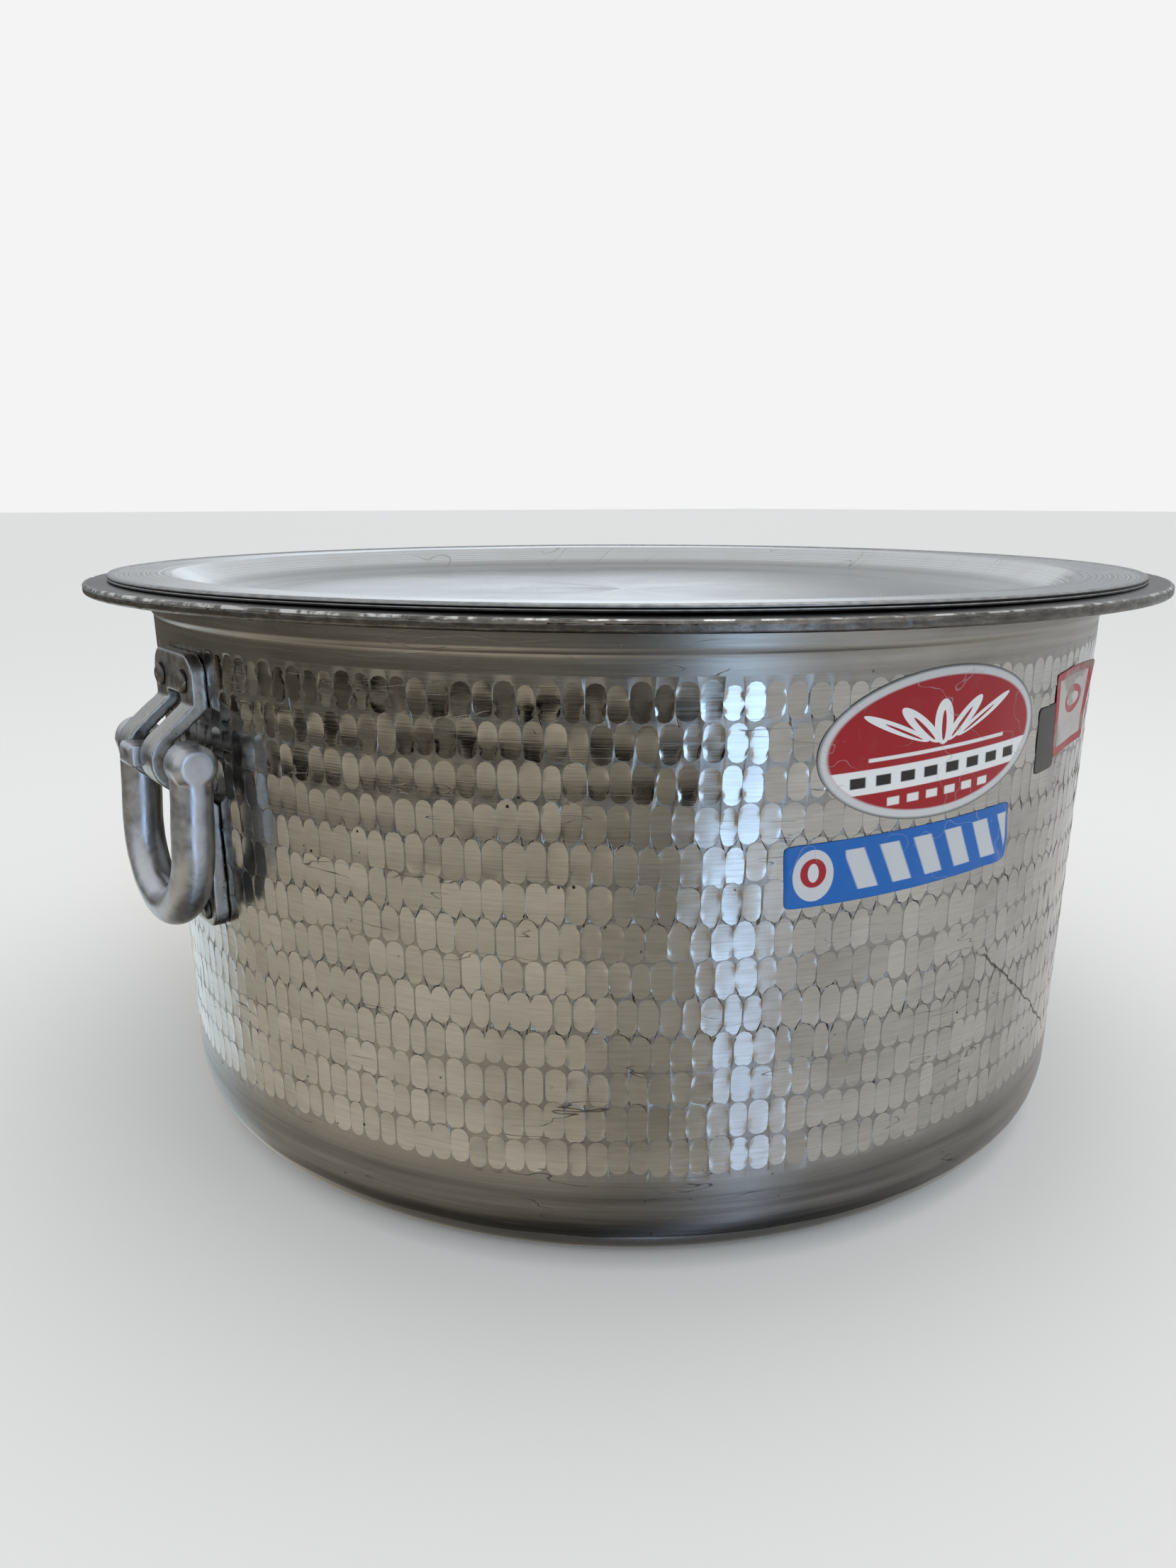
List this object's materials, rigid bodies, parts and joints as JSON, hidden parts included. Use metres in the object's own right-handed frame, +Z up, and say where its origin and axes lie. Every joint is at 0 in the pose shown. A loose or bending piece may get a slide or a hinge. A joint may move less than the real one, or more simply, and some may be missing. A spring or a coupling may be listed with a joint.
{
  "type": "cooking pot",
  "caption": "Wide hammered aluminium pot with a flat flange, a dished lift-off lid and drop-ring handles in riveted strap brackets.",
  "frame": {"origin": "centre of the flat base, on the surface the pot stands on", "axes": "+Z up along the pot's axis, handles on +X and -X, stickers facing -Y"},
  "size_m": [0.4829, 0.483, 0.241],
  "materials": {
    "hammered_aluminium": "hand-hammered and turned, aged",
    "spun_aluminium": "spun, satin",
    "strap_aluminium": "hammered strap, satin",
    "forged_aluminium": "forged and tumbled, satin",
    "rivet_aluminium": "hand-set rivet heads",
    "red_sticker": null,
    "blue_sticker": null,
    "white_sticker": "paper sticker with a plain red border"
  },
  "bodies": {
    "pot": {"pot_body": "hammered_aluminium", "left_bracket": "strap_aluminium", "right_bracket": "strap_aluminium", "left_upper_rivet_a": "rivet_aluminium", "left_upper_rivet_b": "rivet_aluminium", "left_middle_rivet_a": "rivet_aluminium", "left_middle_rivet_b": "rivet_aluminium", "left_lower_rivet_a": "rivet_aluminium", "left_lower_rivet_b": "rivet_aluminium", "right_upper_rivet_a": "rivet_aluminium", "right_upper_rivet_b": "rivet_aluminium", "right_middle_rivet_a": "rivet_aluminium", "right_middle_rivet_b": "rivet_aluminium", "right_lower_rivet_a": "rivet_aluminium", "right_lower_rivet_b": "rivet_aluminium", "label_oval": "red_sticker", "label_strip": "blue_sticker", "label_square": "white_sticker"},
    "lid": {"lid": "spun_aluminium"},
    "left_handle": {"left_ring_handle": "forged_aluminium"},
    "right_handle": {"right_ring_handle": "forged_aluminium"}
  },
  "joints": [
    {"name": "lid_lift", "type": "slide", "parent": "pot", "child": "lid", "axis": [0, 0, 1], "range_m": [0, 0.25]},
    {"name": "left_handle_swing", "type": "hinge", "parent": "pot", "child": "left_handle", "pos_m": [-0.225, 0, 0.1765], "axis": [0, 1, 0], "range_deg": [0, 100]},
    {"name": "right_handle_swing", "type": "hinge", "parent": "pot", "child": "right_handle", "pos_m": [0.225, 0, 0.1765], "axis": [0, -1, 0], "range_deg": [0, 100]}
  ]
}
